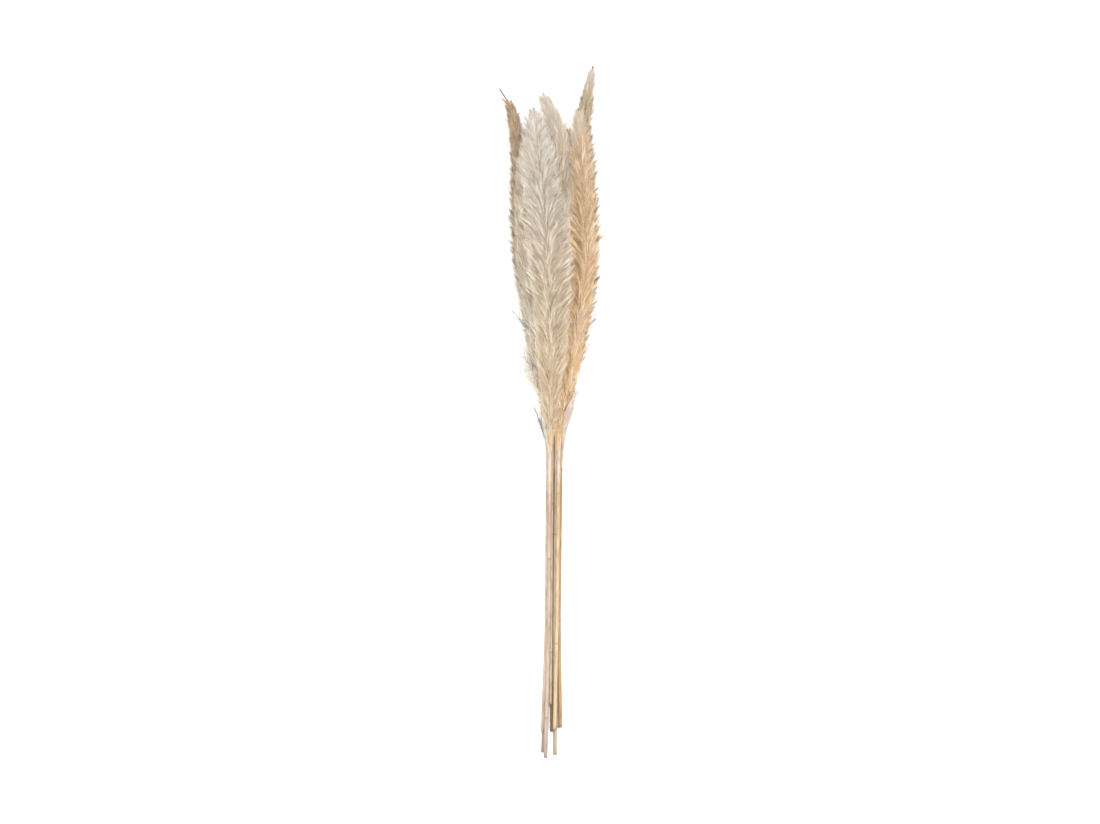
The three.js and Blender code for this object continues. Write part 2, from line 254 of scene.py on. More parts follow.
# Thin branches that stand off the bundle: for each the Y where it leaves its stalk and its end
# point, and its half width, its number of hairs and its tone, where they aren't the usual ones.
LOOSE_BRANCHES = {
    "tan_right": (
        (-40, (31, 24, 34), 0.6, 36), (-30, (27, 8, 38), 0.5, 20, 0.06),
        (62, (53, 110, 20), 0.5, 24), (334, (53, 351, 26), 0.4, 8),
    ),
    "cream_left": (
        (-44, (-22.5, 15, 30), 1.0, 14, 0.02), (-30, (-12, -8, 24), 0.6),
        (10, (-26, 42, 42), 0.4, 60, 0.55), (16, (-30, 48, 38), 0.4, 16, 0.08),
        (22, (-31, 56, 40), 0.4, 80, 0.6), (30, (-33, 66, 36), 0.4, 18, 0.08),
        (36, (-31, 74, 34), 0.4, 80, 0.55), (72, (-42, 116, 38), 0.6, 30), (106, (-38, 146, 38)),
    ),
    "white_front": ((-46, (-9, -14, 34), 0.6), (300, (-32, 344, 50), 0.4, 6, 0.06)),
    "tan_left": (
        (152, (-46.5, 191, 18)), (188, (-48.5, 228, 16)), (222, (-49.5, 261, 18)),
        (350, (-57, 362, 25), 0.45, 6), (322, (-55, 341, 22), 0.45, 8),
    ),
    "peach_right": (
        (-20, (24, 26, 42), 0.5, 16, 0.06), (30, (44.5, 78, 36)), (82, (46, 127, 38)),
        (104, (50, 145, 40)), (134, (54, 176, 44)), (184, (53.5, 224, 44)),
    ),
}

# Dry leaf sheaths round the upper ends of stems, as the Y of their two ends, and two blades that
# stand off, as the points that they follow with their half width at each.
SHEATHS = {
    "white_front": (-96, -38), "peach_right": (-84, -42), "cream_left": (-76, -30),
    "cream_middle": (-70, -26),
}
BLADES = {
    "tan_right": ((13.4, -66, 30.5, 0.8), (14.4, -40, 33, 1.4), (16.2, -24, 36, 2.2),
                  (19.5, -5, 40, 4.2), (23, 7, 41, 4.4), (29.5, 22, 38, 0.4)),
    "cream_left": ((-3, -66, 29.5, 0.6), (-3.6, -40, 31, 1.4), (-5.6, -20, 34, 2.6),
                   (-8.8, -3, 35, 2.2), (-11.4, 12, 33, 0.3)),
}

# The colours of each plume's hairs: the fringe, in the shade at the roots, along the body and at
# the bright ends, each at the plume's base and at its tip.
HAIR_COLOURS = {
    "white_front": "#66635a #666666 #d4ba92 #c6bfb3 #e3d3b8 #d6d0c8 #f8f0e2 #f7f5f1",
    "peach_right": "#686050 #64605a #dcbc8c #c8aa7e #eed7b4 #dac2a2 #fcf2e0 #f8f0e4",
    "cream_middle": "#68645a #686662 #d6ba88 #d2c2aa #e4d2ae #dad0c0 #f8f2e6 #f8f3ea",
    "tan_right": "#625c50 #5c5a58 #c4a880 #b09a78 #decdb0 #cab896 #f2e8d8 #f2eee6",
    "tan_left": "#625e52 #524c42 #c2a87c #aa8c64 #cdbe9f #bfa585 #efe6d4 #e8dac6",
    "cream_left": "#666660 #64625c #ccb690 #b6a078 #ded8cc #cabda4 #f8f5ee #f2ede4",
    "cream_inner": "#8c8470 #8c8678 #ceb68c #c8b898 #e0d2ba #dcd2c0 #f4ece0 #f4efe4",
    "sand_left": "#827660 #807664 #c2a67c #bca680 #dac8a8 #d6c6aa #eee4ce #ece2d0",
    "sand_right": "#827660 #807664 #c2a67c #bca680 #dac8a8 #d8c8ae #f0e4d0 #eee4d2",
}

# How golden each plume gets in patches, where that isn't SOME_GOLD, and how far its tip goes to a
# paler colour.
GOLDEN = {"cream_left": 0.15, "cream_inner": 0.3, "white_front": 0.8, "peach_right": 1}
SOME_GOLD = 0.6
PALE_TIPS = {"tan_right": 0.75, "peach_right": 0.55, "cream_middle": 0.65, "white_front": 0.2}

# Each stem: its colour, the colour of its streaks, and the Y of its joints.
STEM_COLOURS = {
    "white_front": ("#ae9e91", "#8e7b6d", (-352, -168)),
    "peach_right": ("#bea98b", "#98805f", (-266, -92)),
    "cream_middle": ("#aea18d", "#8d7d63", (-318, -140)),
    "tan_right": ("#a28763", "#826345", (-240, -66)),
    "tan_left": ("#aa9383", "#86705f", (-300, -120)),
    "cream_left": ("#b7a38d", "#93795f", (-226, -84)),
    "cream_inner": ("#b9a98c", "#947b59", (-276, -104)),
    # The lowest stem, under the others, is dark brown: partly its own colour, partly painted shade.
    "sand_left": ("#8d6b4d", "#604532", (-254, -112)),
    "sand_right": ("#c4a996", "#9f826d", (-206, -88)),
}
SHEATH_COLOURS = ("#bdab9c", "#998474")
BLADE_COLOURS = {"tan_right": ("#b5a396", "#85756a"), "cream_left": ("#aba898", "#7c7967")}

GOLD = "#f4e0b0"
ROSE = "#ece0d8"
PALE_TIP = "#d4cfc8"
WORN_END = "#8a7a6a"
JOINT_LINE = "#7d5a38"
PITH = "#d8c8a4"
FLOOR_COLOURS = ("#f6f5f3", "#f8f7f5")

# The share of light that goes through the hairs.
THROUGH_HAIRS = 0.34

# The camera and the room, in metres: the frame is VIEW_WIDTH wide at VIEW_LEVEL. A lamp has a
# place, a size, a power and a colour.
FILM_WIDTH = 36.0
CAMERA_AWAY = 6.0
VIEW_WIDTH = 1.266
VIEW_LEVEL = 0.04
FLOOR_HALF = 60.0
SURROUNDING_STRENGTH = 1.15
LAMPS = {
    "key": ((0.05, 0.5, 2.7), 1.2, 72.0, (1.0, 0.99, 0.98)),
    "fill": ((1.8, -1.2, 1.8), 1.6, 10.0, (0.97, 0.98, 1.0)),
}
LAMPS_FACE = (0.0, 0.1, 0.0)


def clipped_share(value, low, high):
    """0 below low, 1 above high, and a straight rise between."""
    return np.clip((value - low) / (high - low), 0, 1)


def smooth_share(value, low, high):
    """0 below low, 1 above high, and an S-shaped rise between: 3 s squared less 2 s cubed."""
    s = clipped_share(value, low, high)
    return s * s * (3 - 2 * s)


def mixed(low, high, share):
    """low where share is 0, high where it is 1, and straight between them."""
    return low + (high - low) * share


def columns(*values):
    """Arrays, and numbers that are the same in every row, as the columns of one array."""
    return np.stack(np.broadcast_arrays(*values), -1)


def outwards(angle):
    """The direction away from a stalk at an angle round it, as x and z: its cosine and sine."""
    return columns(np.cos(angle), np.sin(angle))


def stations_of(stalk):
    """The points that a stalk's line passes, from the fan to the tip, as rows of x, y, z."""
    column, row = stalk["slot"]

    def packed(place):
        x = place["x"] + place["pitch"] * column
        return (x, place["y"], place["z"] + place["pitch"] * ROW_RISE * row)

    belly_x, belly_z = stalk["belly"]
    low = (
        LOW["x"] + LOW["share"] * (belly_x - BELLY["x"]),
        LOW["y"],
        LOW["z"] + LOW["share"] * (belly_z - BELLY["z"]),
    )
    return np.array([
        (stalk["fan"][0], FAN_Y, stalk["fan"][1]),
        packed(WAIST),
        packed(NECK),
        low,
        (belly_x, BELLY["y"], belly_z),
        stalk["shoulder"],
        stalk.get("bend", stalk["shoulder"]),
        stalk["tip"],
    ], float)


def slopes_of(y, value):
    """Slope at each station. The stems run straight from the waist to the neck. Elsewhere it is the
    harmonic mean of the slopes on the two sides, and none where they differ in sign."""
    spans = np.diff(value) / np.diff(y)
    before = np.concatenate([spans[:1], spans])
    after = np.concatenate([spans, spans[-1:]])
    product = before * after
    total = np.where(product > 0, before + after, 1)
    slopes = np.where(product > 0, 2 * product / total, 0)
    slopes[WAIST_STATION:WAIST_STATION + 2] = spans[WAIST_STATION]
    return slopes


def line_at(stalk, y):
    """The middle of a stalk at each Y, as x and z: a cubic between two stations that keeps the
    slopes at both."""
    stations = stalk["stations"]
    at = stations[:, 1]
    i = np.clip(np.searchsorted(at, y) - 1, 0, len(at) - 2)
    length = at[i + 1] - at[i]
    t = np.clip((y - at[i]) / length, 0, 1)
    places = []
    for column in (0, 2):
        value, slope = stations[:, column], stalk["slopes"][column]
        places.append(
            value[i] * (2 * t ** 3 - 3 * t ** 2 + 1)
            + value[i + 1] * (3 * t ** 2 - 2 * t ** 3)
            + slope[i] * length * (t ** 3 - 2 * t ** 2 + t)
            + slope[i + 1] * length * (t ** 3 - t ** 2)
        )
    return columns(*places)


def along_line(stalk, y):
    """Points of a stalk's line at each Y."""
    line = line_at(stalk, y)
    return columns(line[:, 0], y, line[:, 1])


def share_of_plume(stalk, y):
    """Where each Y lies along the plume: 0 at its base and 1 at its tip."""
    return (y - stalk["base"]) / (stalk["tip"][1] - stalk["base"])


def reach_at(stalk, y):
    """How far the sprays reach from the line: girth times the sine of pi s to a power, to another
    power, less a share where the plume is slim; s runs from the base of the plume to its tip."""
    s = np.clip(share_of_plume(stalk, y), 0, 1)
    swell = np.sin(np.pi * s ** WIDEST_POWER).clip(0) ** FULLNESS_POWER
    slim = 1 - stalk["slim"] * smooth_share(s, *SLIM_ZONE)
    return np.where((s > 0) & (s < 1), stalk["girth"] * swell * slim, 0)


def table_rooms():
    """Tables, for each stalk and each place along Y, which way each neighbour lies and how much
    room there is towards it: their distance, shared in proportion to their reach."""
    need = TOP_RADIUS + STEM_ROOM
    for stalk in STALKS:
        stations = np.unique(stations_of(stalk), axis=0)
        stations = stations[np.argsort(stations[:, 1])]
        stalk["stations"] = stations
        stalk["slopes"] = {c: slopes_of(stations[:, 1], stations[:, c]) for c in (0, 2)}
        stalk["line"] = line_at(stalk, ALONG)
        stalk["reach"] = np.maximum(reach_at(stalk, ALONG), TOP_RADIUS)
    for stalk in STALKS:
        towards, rooms = [], []
        for other in STALKS:
            if other is stalk:
                continue
            apart = other["line"] - stalk["line"]
            distance = np.linalg.norm(apart, axis=-1)
            share = stalk["reach"] / (stalk["reach"] + other["reach"])
            room = np.clip(distance * share, need, np.maximum(distance - need, need))
            gone = ALONG > other["tip"][1]
            towards.append(apart / distance[:, None])
            rooms.append(np.where(gone, OPEN, room))
        stalk["towards"] = np.stack(towards)
        stalk["rooms"] = np.stack(rooms)


def table_row(y):
    """The nearest row of the tables to each Y."""
    return np.clip(np.rint((y - FAN_Y) / STEP).astype(int), 0, len(ALONG) - 1)


def kept_in_room(stalk, y, across, clearance):
    """Draws points, given by their offset from the line, straight towards it until they are clear
    of every neighbour's room, and lays those that would go below the surface on it."""
    i = table_row(y)
    kept = np.ones(len(y))
    for towards, rooms in zip(stalk["towards"], stalk["rooms"]):
        used = (across * towards[i]).sum(-1)
        allowed = np.maximum(rooms[i] - clearance, LEAST_ROOM)
        kept = np.minimum(kept, np.where(used > allowed, allowed / np.maximum(used, 1e-6), 1))
    place = line_at(stalk, y) + across * kept[:, None]
    return columns(place[:, 0], y, np.maximum(place[:, 1], LOWEST))


def crease_reach(stalk, y, angle):
    """How far it is from the line, in the direction of the angle, to a little past the nearest
    neighbour's room, and 0 where no neighbour is near."""
    i = table_row(y)
    out = outwards(angle)
    nearest = np.full(len(y), OPEN)
    for towards, rooms in zip(stalk["towards"], stalk["rooms"]):
        facing = (out * towards[i]).sum(-1)
        room = rooms[i] / facing.clip(FACING)
        nearest = np.where(facing > FACING, np.minimum(nearest, room), nearest)
    return np.where(nearest < CREASE_SHARE * reach_at(stalk, y), nearest + PAST_ROOM, 0)


def waves(root, angle, short, long, first, second):
    """Two sine waves along the plume. One goes round it twice, and one once the other way."""
    return np.sin(root / short + 2 * angle + first) + np.sin(root / long - angle + second)


def sprays_of(stalk, draws, spacing):
    """Sprays of a plume in a golden-angle spiral: for each the Y of its root, its angle round the
    stalk, its length, the radius that its end reaches, its sweep, its tone, how shaggy its end is,
    its patch, and whether it is free of neighbours. Long sprays reach the full radius, or on to a
    neighbour's room where they are in a crease; towards the tip they get short and lie closer.
    Tone and patch are waves and a draw, and in a crease painted shade makes the tone darker."""
    plume = stalk["tip"][1] - stalk["base"]
    tip = stalk["tip"][1] - stalk["bare"]
    rooted = ROOT_END * (tip - stalk["base"])
    count = round(rooted / (spacing * math.sqrt(SPACING_GIRTH / stalk["girth"])))
    root = stalk["base"] + rooted * (np.arange(count) + draws.uniform(0, 1, count)) / count
    around = np.arange(count) * TURN + draws.normal(0, TURN_SPREAD, count)
    angle = around + CROWDING * np.sin(2 * around)
    grown = clipped_share(root - stalk["base"], 0, GROWN_AT * plume)
    wanted = SPRAY_LENGTH * mixed(SHORTEST_SHARE, 1, grown) * draws.uniform(*LENGTH_SPREAD, count)
    length = np.minimum(wanted, (tip - root) * TIP_STAY)
    upper = root + REACH_AT * length
    end = share_of_plume(stalk, upper)
    taper = 1 - stalk["taper"] * smooth_share(end, *TAPER_ZONE)
    reach = reach_at(stalk, upper) * taper
    loose = draws.uniform(*REACH_SPREAD, count)
    loose = loose + STRAY * draws.uniform(0, 1, count) ** STRAY_POWER
    sweep = draws.normal(0, SWEEP_SPREAD, count) - PARTING * np.sin(2 * angle)
    drawn_in = mixed(*stalk["drawn_in"], smooth_share(end, *DRAWN_IN_ZONE))
    crease = crease_reach(stalk, upper, angle + sweep)
    filled = np.minimum(crease, CREASE_SHARE * reach)
    filled = filled * (1 - smooth_share(end, *FILLED_ZONE))
    reach = np.maximum(reach * REACH_SHARE * drawn_in, filled)
    reach = np.maximum(reach * loose, TOP_RADIUS)
    tone = TONE_SPREAD * waves(root, angle, 7, 19, 4, 0) + draws.normal(0, TONE_SPREAD, count)
    shag = SHAG_LEAST + draws.uniform(0, 1, count) ** SHAG_POWER
    patch = PATCH_WAVE * waves(root, angle, 13, 29, 0, 1) + draws.normal(0, PATCH_SPREAD, count)
    # In a crease the sprays' tone is darker: painted shade.
    return dict(root=root, angle=angle, length=length, reach=reach, sweep=sweep,
                tone=tone - stalk["crease_shade"] * (crease > 0), shag=shag, patch=patch,
                free=crease == 0)


def spray_places(stalk, sprays, k, t, across, outward, clearance, look):
    """Points of the sprays k at share t of their length. The middle of a spray leaves the line,
    bows outwards with t to a power and turns a little round it; across and outward are offsets
    from that middle, in millimetres. None goes past FURTHEST to a side, or above HIGHEST."""
    y = sprays["root"][k] + sprays["length"][k] * t
    out = outwards(sprays["angle"][k] + look["sweep"] * sprays["sweep"][k] * t)
    side = columns(out[:, 1], -out[:, 0])
    bow = mixed(ROOT_BOW, 1, t.clip(0, 1) ** look["bow"])
    offset = out * (sprays["reach"][k] * bow + outward)[:, None] + side * across[:, None]
    places = kept_in_room(stalk, y, offset, clearance)
    places[:, 0] = places[:, 0].clip(-FURTHEST, FURTHEST)
    places[:, 2] = np.minimum(places[:, 2], HIGHEST)
    return places


def needles(centres, radii, u, v, draws):
    """Closed three-sided needles. centres holds the rings of each needle and its point, as
    (needle, place, xyz); radii one radius a ring. The corners of a ring lie at a radius from its
    centre, at thirds of a turn round the needle's direction. u and v are the needle's map at
    each place, spread a little across its sides. Returns points, triangles and their map."""
    count, places, _ = centres.shape
    rings = places - 1
    along = centres[:, -1] - centres[:, 0]
    along /= np.linalg.norm(along, axis=-1, keepdims=True) + 1e-9
    loose = draws.normal(size=(count, 3))
    first = np.cross(along, loose)
    first /= np.linalg.norm(first, axis=-1, keepdims=True) + 1e-9
    second = np.cross(along, first)
    angles = np.arange(3) * 2 * np.pi / 3
    spoke = np.cos(angles)[:, None] * first[:, None] + np.sin(angles)[:, None] * second[:, None]
    ring = centres[:, :-1, None] + radii[:, :, None, None] * spoke[:, None]
    points = np.concatenate([ring.reshape(count, rings * 3, 3), centres[:, -1:]], 1)
    side = (np.arange(3) - 1) * HAIR_BORDER
    ring_u = (u[:, :-1, None] + side).reshape(count, rings * 3)
    ring_v = np.repeat(v[:, :-1], 3, 1)
    map_at = columns(np.concatenate([ring_u, u[:, -1:]], 1), np.concatenate([ring_v, v[:, -1:]], 1))
    one = [(0, 2, 1)]
    for r in range(rings - 1):
        for j in range(3):
            a, b = r * 3 + j, r * 3 + (j + 1) % 3
            one += [(a, b, b + 3), (a, b + 3, a + 3)]
    last = (rings - 1) * 3
    one += [(last + j, last + (j + 1) % 3, rings * 3) for j in range(3)]
    size = rings * 3 + 1
    triangles = ((np.arange(count) * size)[:, None, None] + np.array(one)).reshape(-1, 3)
    map_at = map_at.reshape(-1, 2).clip(HAIR_BORDER, 1 - HAIR_BORDER)
    return points.reshape(-1, 3), triangles, map_at[triangles]


def joined(parts):
    """Several sets of points, triangles and map in one."""
    points, triangles, maps, start = [], [], [], 0
    for part_points, part_triangles, part_map in parts:
        points.append(part_points)
        triangles.append(part_triangles + start)
        maps.append(part_map)
        start += len(part_points)
    return np.concatenate(points), np.concatenate(triangles), np.concatenate(maps)


def new_piece(name, shape, material, node, smooth):
    """An object at the origin from points in millimetres, triangles and a map of their corners,
    which stands for a node of the frame."""
    points, triangles, map_at = shape
    mesh = bpy.data.meshes.new(name)
    mesh.vertices.add(len(points))
    mesh.vertices.foreach_set("co", (points * MILLIMETRE).astype(np.float32).ravel())
    mesh.loops.add(triangles.size)
    mesh.loops.foreach_set("vertex_index", triangles.astype(np.int32).ravel())
    mesh.polygons.add(len(triangles))
    mesh.polygons.foreach_set("loop_start", np.arange(0, triangles.size, 3, dtype=np.int32))
    mesh.polygons.foreach_set("use_smooth", np.full(len(triangles), smooth))
    layer = mesh.uv_layers.new(name=OWN_MAP)
    layer.data.foreach_set("uv", map_at.astype(np.float32).ravel())
    mesh.update(calc_edges=True)
    mesh.validate()
    mesh.materials.append(material)
    piece = bpy.data.objects.new(name, mesh)
    bpy.context.scene.collection.objects.link(piece)
    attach(piece, "root")
    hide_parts(node)


def spray_hairs(stalk, sprays, draws, fullness, look):
    """Hairs that lie along the strands of each spray. A strand keeps its place across the spray,
    which is widest past the middle, and each of its hairs covers a part of its length. The middle
    of a hair strays by its curl. The end of a strand may go on beyond the spray, slantwise
    outwards. At the sides of the bundle some strands take the edge's darker tone towards their end,
    which is painted shade there."""
    counts = look["strands"] * fullness * sprays["length"] / sprays["length"].mean()
    counts = np.floor(counts + draws.uniform(0, 1, len(counts))).astype(int)
    total = counts.sum()
    strand = np.repeat(np.arange(total), look["hairs"])
    count = len(strand)
    k = np.repeat(np.arange(len(counts)), counts)[strand]
    length = sprays["length"][k]
    angle = draws.uniform(0, 2 * np.pi, total)
    far = draws.uniform(0, 1, total) ** STRAND_POWER
    side = (far * np.cos(angle))[strand]
    out = (far * np.sin(angle))[strand]
    uneven = look["strand_tone"]
    tone = draws.normal(0, uneven, total)[strand] + draws.normal(0, HAIR_TONE * uneven, count)
    tone = tone + sprays["tone"][k] * min(uneven / FULL_TONE, 1)
    size = mixed(SMALLEST, 1, np.minimum(sprays["reach"] / FULL_SIZE_REACH, 1)[k])
    beyond = mixed(*look["beyond"], draws.uniform(0, 1, total) ** BEYOND_POWER)[strand]
    beyond = beyond * draws.uniform(*BEYOND_SPREAD, count) * sprays["shag"][k] * size
    long = draws.uniform(*look["length"], count)
    start = draws.uniform(*look["start"], count)
    end = np.minimum(start + long / length, 1 + beyond * math.cos(BEYOND_ANGLE) / length)
    start = np.clip(start, 0, end - LEAST_SPAN)
    clearance = -draws.uniform(*look["into"], total)[strand]
    loose = draws.normal(0, 1, (count, 2))
    curl = draws.normal(0, CURL, (count, 2)) * (end - start)[:, None]
    # Towards their end, strands at the sides of the bundle go darker: painted shade.
    sideways = np.abs(np.cos(sprays["angle"] + look["sweep"] * sprays["sweep"])) * sprays["free"]
    side_shaded = (draws.uniform(0, 1, total) < look["edge"])[strand]
    edge = side_shaded * smooth_share(sideways, *SIDE_SHADE_SIDES)[k]
    rings = look["rings"]
    centres, tones = [], []
    for place in range(rings + 1):
        share = place / rings
        t = mixed(start, end, share)
        width = np.interp(t, *SPRAY_SIZES) * size
        spread = loose * mixed(*look["spread"], share) + curl * (4 * share * (1 - share))
        across = side * width * SPRAY_HALF_WIDTH + spread[:, 0]
        outward = out * width * SPRAY_HALF_DEPTH + spread[:, 1] + look["lift"] * share ** LIFT_POWER
        outward = outward + (t - 1).clip(0) * length * math.tan(BEYOND_ANGLE)
        centres.append(spray_places(stalk, sprays, k, t, across, outward, clearance, look))
        own = mixed(*look["tones"], ALONG_HAIR * share + (1 - ALONG_HAIR) * t) + tone
        tones.append(mixed(own, look["side_shade_tone"], edge * smooth_share(t, *SIDE_SHADE_ZONE)))
    centres = np.stack(centres, 1)
    u = share_of_plume(stalk, centres[:, :, 1]) + sprays["patch"][k][:, None]
    thin = look["width"] * np.linspace(1, END_WIDTH, rings + 1)[:-1]
    radii = np.broadcast_to(thin, (count, rings)) * draws.uniform(*WIDTH_SPREAD, (count, 1))
    return needles(centres, radii, u, np.stack(tones, 1), draws)


def plain_hairs(stalk, draws, centres, look, spread, u=None):
    """Hairs through the given centres, with the widths and the tones of their look. u is their
    place along the plume, if it isn't to follow from where they are."""
    centres = np.stack(centres, 1)
    count, places, _ = centres.shape
    tones = np.array(look["tones"]) + draws.normal(0, spread, (count, 1))
    widths = np.broadcast_to(look["widths"], (count, places - 1))
    along = share_of_plume(stalk, centres[:, :, 1]) if u is None else np.full((count, places), u)
    return needles(centres, widths, along, tones, draws)


def inner_down(stalk, draws, count):
    """Short hairs that leave the stalk all round and all along, and fill the middle of the plume.
    Each goes slantwise out, to between a third and two thirds of the reach."""
    plume = stalk["tip"][1] - stalk["base"]
    y = stalk["base"] + (plume - stalk["bare"]) * draws.uniform(*DOWN["along"], count)
    out = outwards(draws.uniform(0, 2 * np.pi, count))
    far = draws.uniform(*DOWN["out"], count) * np.maximum(reach_at(stalk, y + 10), 2)
    end = np.minimum(y + far * 1.2 + 4, stalk["tip"][1])
    clearance = draws.uniform(0, 1, count)
    root = kept_in_room(stalk, y, out * 0.6, clearance)
    tip = kept_in_room(stalk, end, out * far[:, None], clearance)
    return plain_hairs(stalk, draws, [root, tip], DOWN, 0.06)


def neck_hairs(stalk, draws):
    """Hairs that lie along the top of the bare stem and lead over into the plume."""
    count = NECK_HAIRS["count"]
    root = stalk["base"] + draws.uniform(*NECK_HAIRS["root"], count)
    end = root + draws.uniform(*NECK_HAIRS["length"], count)
    out = outwards(draws.uniform(0, 2 * np.pi, count))
    far = np.maximum(draws.uniform(*NECK_HAIRS["out"], count) * reach_at(stalk, end), 2.6)
    centres = [
        kept_in_room(stalk, root, out * 2.2, 0),
        kept_in_room(stalk, mixed(root, end, 0.5), out * mixed(2.4, far, 0.3)[:, None], -1),
        kept_in_room(stalk, end, out * far[:, None], -2),
    ]
    return plain_hairs(stalk, draws, centres, NECK_HAIRS, 0.1)


def crown_hairs(stalk, draws):
    """Hairs on the very tip of a plume. They run on from its line and end on a dome: radius times
    the sine of a draw across, and radius times one less its cosine below the tip."""
    count, radius = stalk["crown"]
    tip = stalk["tip"][1]
    slant = draws.uniform(0, 1, count) * np.pi / 2
    root = tip - radius - draws.uniform(*CROWN_HAIRS["root"], count)
    end = tip - radius * (1 - np.cos(slant)) + draws.normal(0, 1, count)
    out = outwards(draws.uniform(0, 2 * np.pi, count)) * (radius * np.sin(slant))[:, None]
    slope = (line_at(stalk, np.array([tip])) - line_at(stalk, np.array([tip - 4]))) / 4
    centres = []
    for share in (0, 0.5, 1):
        y = mixed(root, end, share)
        place = line_at(stalk, y) + (y - tip).clip(0)[:, None] * slope
        place = place + out * (0.15 + 0.85 * share ** 0.8)
        centres.append(columns(place[:, 0], y, place[:, 1]))
    return plain_hairs(stalk, draws, centres, CROWN_HAIRS, 0.1, 0.95)


def loose_branch(stalk, draws, start, end, thick=0.5, hairs=20, tone=0.04):
    """A thin branch from the stalk at the Y of start to the point end, along a quadratic curve.
    Hairs leave its outer part slantwise to both sides, and bend a little."""
    first = along_line(stalk, np.array([start]))[0]
    last = np.array(end, float)
    middle = mixed(first, last, np.array([0.35, 0.5, 0.5]))

    def at(t):
        t = np.asarray(t)[..., None]
        return (1 - t) ** 2 * first + 2 * t * (1 - t) * middle + t ** 2 * last

    places = 8
    line = at(np.linspace(0, 1, places))
    radii = thick * np.linspace(1, 0.5, places - 1)
    u = max(share_of_plume(stalk, end[1]), 0.02)
    branch = needles(
        line[None], radii[None], np.full((1, places), u), np.full((1, places), tone), draws
    )
    t = draws.uniform(*BRANCH_HAIRS["start"], hairs)
    root, along = at(t), at(t + 0.02) - at(t - 0.02)
    along /= np.linalg.norm(along, axis=-1, keepdims=True)
    aside = np.cross(along, (0, 0, 1)) * draws.choice((-1, 1), (hairs, 1))
    away = along + aside * draws.uniform(*BRANCH_HAIRS["aside"], (hairs, 1))
    away[:, 2] += draws.normal(0, 0.3, hairs)
    length = draws.uniform(*BRANCH_HAIRS["length"], (hairs, 1))
    curl = draws.normal(0, 0.15, (hairs, 3)) * length
    centres = [
        root,
        root + away * length * 0.55 + curl * 0.3,
        root + away * length * 0.9 + along * length * 0.15 + curl,
    ]
    look = dict(BRANCH_HAIRS, tones=(tone, tone, tone))
    return joined([branch, plain_hairs(stalk, draws, centres, look, 0.04, u)])


def plume_shape(stalk, seed):
    """All hairs of a plume, from the down inside to the hairs on its loose branches."""
    draws = np.random.default_rng(seed)
    sprays = sprays_of(stalk, draws, SPRAY_SPACING)
    coat = sprays_of(stalk, draws, COAT_SPACING)
    full = stalk["fullness"]
    edge = full * stalk["fringe"]
    brown = full * mixed(*SPIKELET_STRANDS, 1 - smooth_share(sprays["root"], *SPIKELETS_UP_TO))
    parts = [inner_down(stalk, draws, int(len(sprays["root"]) * DOWN["per_spray"] * full))]
    for carriers, fullness, look in (
        (coat, full, COAT_HAIRS), (sprays, full, FINE_HAIRS), (sprays, full, BRIGHT_HAIRS),
        (coat, full, BRIGHT_ON_COAT), (sprays, edge, FRINGE_HAIRS), (sprays, edge, WISPS),
        (sprays, brown, SPIKELETS),
    ):
        parts.append(spray_hairs(stalk, carriers, draws, fullness, look))
    parts += [neck_hairs(stalk, draws), crown_hairs(stalk, draws)]
    rows = LOOSE_BRANCHES.get(stalk["name"], ())
    return joined(parts + [loose_branch(stalk, draws, *row) for row in rows])


def tube(middle, across, upright, sides):
    """A closed tube with a ring of points round each point of middle, at the half widths across and
    upright, and a middle point at each end. In the map the wall runs once round and from CAP_SHARE
    to WALL_TOP, and the cut end lies below it."""
    angle = np.arange(sides) * 2 * np.pi / sides
    x = middle[:, :1] + across[:, None] * np.cos(angle)
    z = middle[:, 2:] + upright[:, None] * np.sin(angle)
    ends = middle[[0, -1]]
    points = np.concatenate([columns(x, middle[:, 1:2], z).reshape(-1, 3), ends])
    spans = len(middle) - 1
    i, j = [grid.ravel() for grid in np.meshgrid(np.arange(spans), np.arange(sides), indexing="ij")]
    k = (j + 1) % sides
    a, b, c, d = i * sides + j, i * sides + k, (i + 1) * sides + k, (i + 1) * sides + j
    left, right = j / sides, (j + 1) / sides
    low = mixed(CAP_SHARE, WALL_TOP, i / spans)
    high = mixed(CAP_SHARE, WALL_TOP, (i + 1) / spans)
    triangles = [columns(a, d, c), columns(a, c, b)]
    maps = [
        np.stack([columns(left, low), columns(left, high), columns(right, high)], 1),
        np.stack([columns(left, low), columns(right, high), columns(right, low)], 1),
    ]
    j = np.arange(sides)
    k = (j + 1) % sides
    last = spans * sides
    left, right = j / sides, (j + 1) / sides
    half = (left + right) / 2
    rim = 0.9 * CAP_SHARE
    triangles += [columns(j, k, len(points) - 2), columns(last + k, last + j, len(points) - 1)]
    maps += [
        np.stack([columns(left, rim), columns(right, rim), columns(half, 0)], 1),
        np.stack([columns(right, WALL_TOP), columns(left, WALL_TOP), columns(half, 1)], 1),
    ]
    map_at = np.concatenate(maps).clip(TUBE_BORDER, 1 - TUBE_BORDER)
    return points, np.concatenate(triangles), map_at


def culm_shape(stalk, joints):
    """A bare stem: a slow taper, with a low swelling and a groove below it at each joint, each a
    bell curve along the stem."""
    top = stalk["base"]
    places = np.unique(np.concatenate(
        [np.linspace(stalk["cut"], top, 60)] + [joint + np.array(JOINT_PLACES) for joint in joints]
    ))
    radii = np.interp(places, [stalk["cut"], top], [CUT_RADIUS, TOP_RADIUS])
    for joint in joints:
        for height, offset, half in JOINT_FORM:
            radii += height * np.exp(-((places - joint - offset) / half) ** 2)
    return tube(along_line(stalk, places), 1.02 * radii, 0.98 * radii, 20)


def rachis_shape(stalk):
    """The upper end of the stalk, which the hairs grow from: it tapers to a thin tip."""
    places = np.linspace(stalk["base"], stalk["tip"][1] - 1, 70)
    radii = np.interp(places, [places[0], places[-1]], [TOP_RADIUS, TIP_RADIUS])
    return tube(along_line(stalk, places), radii, radii, 10)


